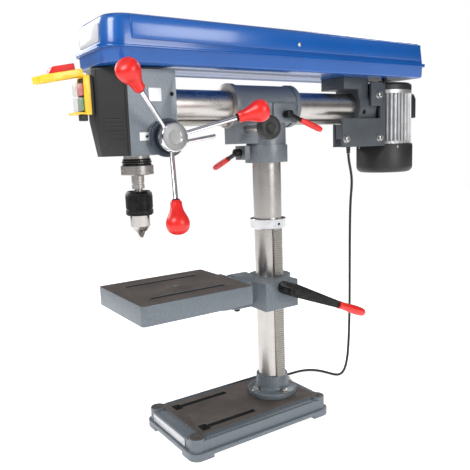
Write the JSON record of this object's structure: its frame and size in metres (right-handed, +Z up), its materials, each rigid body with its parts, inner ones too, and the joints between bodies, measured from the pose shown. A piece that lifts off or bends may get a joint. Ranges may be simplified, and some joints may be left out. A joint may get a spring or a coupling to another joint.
{
  "type": "drill press",
  "caption": "Bench radial drill press: base, round column, lifting and tilting table, and a sliding, swivelling arm with drill head, feed handles, belt cover and motor.",
  "frame": {"origin": "middle of the footprint at bench level, measured without the mains cord, its coil and its plug", "axes": "+Z up, -Y towards the operator (chuck and switch), +X to the operator's right (feed handles)"},
  "size_m": [0.4241, 0.9354, 0.812],
  "materials": {
    "cast_paint": "hammered blue-grey enamel over cast iron",
    "bracket_paint": "dark grey satin paint on steel",
    "ground_steel": "ground and oiled steel",
    "chrome": "bright chrome plating",
    "black_plastic": "finely grained black moulding",
    "black_steel": "black oxide and black paint on steel",
    "red_plastic": "glossy red moulding",
    "yellow_plastic": "glossy yellow moulding",
    "green_plastic": "glossy green moulding",
    "blue_paint": "gloss blue enamel on sheet steel",
    "aluminium": "bare cast and extruded aluminium",
    "ring_paint": "dark blue-grey satin paint",
    "rubber": "black rubber and flexible sheath"
  },
  "bodies": {
    "base": {"base_casting": "cast_paint", "base_label_plate": "aluminium", "column_flange": "cast_paint", "column_tube": "ground_steel", "rack_ring": "chrome"},
    "rack_carrier": {"column_rack": "ground_steel"},
    "bracket": {"table_bracket": "cast_paint"},
    "lift_gear": {"lift_gear": "ground_steel"},
    "crank": {"crank_shaft": "ground_steel", "table_crank": "black_steel", "crank_grip": "red_plastic"},
    "table": {"work_table": "cast_paint"},
    "saddle": {"arm_saddle": "cast_paint"},
    "arm_lock": {"arm_lock_lever": "black_steel", "arm_lock_grip": "red_plastic"},
    "swivel_lock": {"swivel_lock_lever": "black_steel", "swivel_lock_grip": "red_plastic"},
    "traverse": {"traverse_shaft": "ground_steel", "traverse_knob": "black_plastic"},
    "arm_carrier": {"arm_rack": "ground_steel", "mains_cord": "rubber", "cord_coil": "rubber", "mains_plug": "rubber"},
    "arm": {"arm_tube": "ground_steel", "head_casting": "cast_paint", "head_front_cover": "black_plastic", "cover_pan": "blue_paint", "drive_belt": "rubber", "motor_bracket": "bracket_paint", "motor_plate": "bracket_paint", "motor_body": "aluminium", "motor_top_cap": "black_plastic", "motor_fan_cover": "black_plastic", "capacitor_box": "black_plastic", "cable_gland": "rubber", "switch_box": "black_plastic"},
    "lid": {"cover_lid": "blue_paint"},
    "head_lock": {"head_lock_lever": "chrome"},
    "quill": {"quill_sleeve": "ground_steel", "quill_collar": "ground_steel"},
    "spindle": {"spindle_shaft": "ground_steel", "chuck_body": "ground_steel"},
    "chuck_sleeve": {"chuck_sleeve": "black_steel"},
    "jaw_1": {"chuck_jaw_1": "ground_steel"},
    "jaw_2": {"chuck_jaw_2": "ground_steel"},
    "jaw_3": {"chuck_jaw_3": "ground_steel"},
    "feed": {"depth_ring": "ring_paint", "feed_hub": "chrome", "feed_rod_1": "chrome", "feed_rod_2": "chrome", "feed_rod_3": "chrome", "feed_knob_1": "red_plastic", "feed_knob_2": "red_plastic", "feed_knob_3": "red_plastic"},
    "spindle_drive": {"spindle_pulley": "aluminium"},
    "motor_drive": {"motor_pulley": "aluminium"},
    "stop": {"stop_button": "red_plastic"},
    "start": {"start_button": "green_plastic"},
    "flap": {"switch_flap": "yellow_plastic"}
  },
  "joints": [
    {"name": "table_swivel", "type": "hinge", "parent": "base", "child": "rack_carrier", "pos_m": [-0.03281, 0.02174, 0.26], "axis": [0, 0, -1], "range_deg": [-90, 90]},
    {"name": "table_lift", "type": "slide", "parent": "rack_carrier", "child": "bracket", "axis": [0, 0, -1], "range_m": [-0.1, 0.16]},
    {"name": "crank_turn", "type": "hinge", "parent": "bracket", "child": "crank", "pos_m": [0.04519, -0.00226, 0.2975], "axis": [1, 0, 0], "range_deg": [-1950, 3120]},
    {"name": "lift_gear_turn", "type": "hinge", "parent": "bracket", "child": "lift_gear", "pos_m": [0.01459, 0.00974, 0.274], "axis": [0, 1, 0], "range_deg": [-660, 1040]},
    {"name": "table_tilt", "type": "hinge", "parent": "bracket", "child": "table", "pos_m": [-0.03281, -0.07826, 0.284], "axis": [0, 1, 0], "range_deg": [-45, 45]},
    {"name": "arm_swivel", "type": "hinge", "parent": "base", "child": "saddle", "pos_m": [-0.03281, 0.02174, 0.59], "axis": [0, 0, -1], "range_deg": [-70, 90]},
    {"name": "arm_lock_turn", "type": "hinge", "parent": "saddle", "child": "arm_lock", "pos_m": [0.01319, 0.03974, 0.649], "axis": [1, 0, 0], "range_deg": [-25, 25]},
    {"name": "swivel_lock_turn", "type": "hinge", "parent": "saddle", "child": "swivel_lock", "pos_m": [-0.04681, -0.03526, 0.574], "axis": [0, 1, 0], "range_deg": [-25, 25]},
    {"name": "arm_slide", "type": "slide", "parent": "saddle", "child": "arm_carrier", "axis": [0, -1, 0], "range_m": [-0.1, 0.09]},
    {"name": "traverse_turn", "type": "hinge", "parent": "saddle", "child": "traverse", "pos_m": [0.05119, -0.04126, 0.6206], "axis": [1, 0, 0], "range_deg": [-770, 690]},
    {"name": "arm_tilt", "type": "hinge", "parent": "arm_carrier", "child": "arm", "pos_m": [-0.03281, 0.02174, 0.668], "axis": [0, 1, 0], "range_deg": [-45, 45]},
    {"name": "lid_open", "type": "hinge", "parent": "arm", "child": "lid", "pos_m": [-0.12081, 0.02174, 0.758], "axis": [0, -1, 0], "range_deg": [0, 85]},
    {"name": "head_lock_turn", "type": "hinge", "parent": "arm", "child": "head_lock", "pos_m": [0.00719, -0.19926, 0.598], "axis": [0, 1, 0], "range_deg": [-20, 20]},
    {"name": "quill_feed", "type": "slide", "parent": "arm", "child": "quill", "axis": [0, 0, -1], "range_m": [0, 0.06], "stiffness_N_per_m": 500, "springref_m": -0.14},
    {"name": "feed_turn", "type": "hinge", "parent": "arm", "child": "feed", "pos_m": [0.03419, -0.24226, 0.6065], "axis": [1, 0, 0], "range_deg": [0, 344]},
    {"name": "spindle_spin", "type": "hinge", "parent": "quill", "child": "spindle", "pos_m": [-0.03281, -0.27626, 0.56], "axis": [0, 0, 1], "continuous": true},
    {"name": "spindle_pulley_spin", "type": "hinge", "parent": "arm", "child": "spindle_drive", "pos_m": [-0.03281, -0.27626, 0.76], "axis": [0, 0, 1], "continuous": true},
    {"name": "motor_spin", "type": "hinge", "parent": "arm", "child": "motor_drive", "pos_m": [-0.03281, 0.38474, 0.76], "axis": [0, 0, 1], "continuous": true},
    {"name": "chuck_turn", "type": "hinge", "parent": "spindle", "child": "chuck_sleeve", "pos_m": [-0.03281, -0.27626, 0.49], "axis": [0, 0, 1], "range_deg": [0, 360]},
    {"name": "jaw_1_slide", "type": "slide", "parent": "spindle", "child": "jaw_1", "axis": [0.2095, 0.121, 0.9703], "range_m": [0, 0.008]},
    {"name": "jaw_2_slide", "type": "slide", "parent": "spindle", "child": "jaw_2", "axis": [-0.2095, 0.121, 0.9703], "range_m": [0, 0.008]},
    {"name": "jaw_3_slide", "type": "slide", "parent": "spindle", "child": "jaw_3", "axis": [0, -0.2419, 0.9703], "range_m": [0, 0.008]},
    {"name": "stop_press", "type": "slide", "parent": "arm", "child": "stop", "axis": [0, 1, 0], "range_m": [0, 0.003], "stiffness_N_per_m": 900, "springref_m": -0.001},
    {"name": "start_press", "type": "slide", "parent": "arm", "child": "start", "axis": [0, 1, 0], "range_m": [0, 0.003], "stiffness_N_per_m": 900, "springref_m": -0.001},
    {"name": "flap_close", "type": "hinge", "parent": "arm", "child": "flap", "pos_m": [-0.03281, -0.37356, 0.716], "axis": [1, 0, 0], "range_deg": [0, 60]}
  ],
  "couplings": [
    {"joint": "crank_turn", "follows": "table_lift", "rad_per_m": 333.33},
    {"joint": "lift_gear_turn", "follows": "table_lift", "rad_per_m": 111.11},
    {"joint": "traverse_turn", "follows": "arm_slide", "rad_per_m": 133.33},
    {"joint": "feed_turn", "follows": "quill_feed", "rad_per_m": 100},
    {"joint": "spindle_pulley_spin", "follows": "spindle_spin", "ratio": 1},
    {"joint": "motor_spin", "follows": "spindle_spin", "ratio": 0.80769},
    {"joint": "jaw_1_slide", "follows": "chuck_turn", "m_per_rad": 0.0012732},
    {"joint": "jaw_2_slide", "follows": "chuck_turn", "m_per_rad": 0.0012732},
    {"joint": "jaw_3_slide", "follows": "chuck_turn", "m_per_rad": 0.0012732}
  ]
}
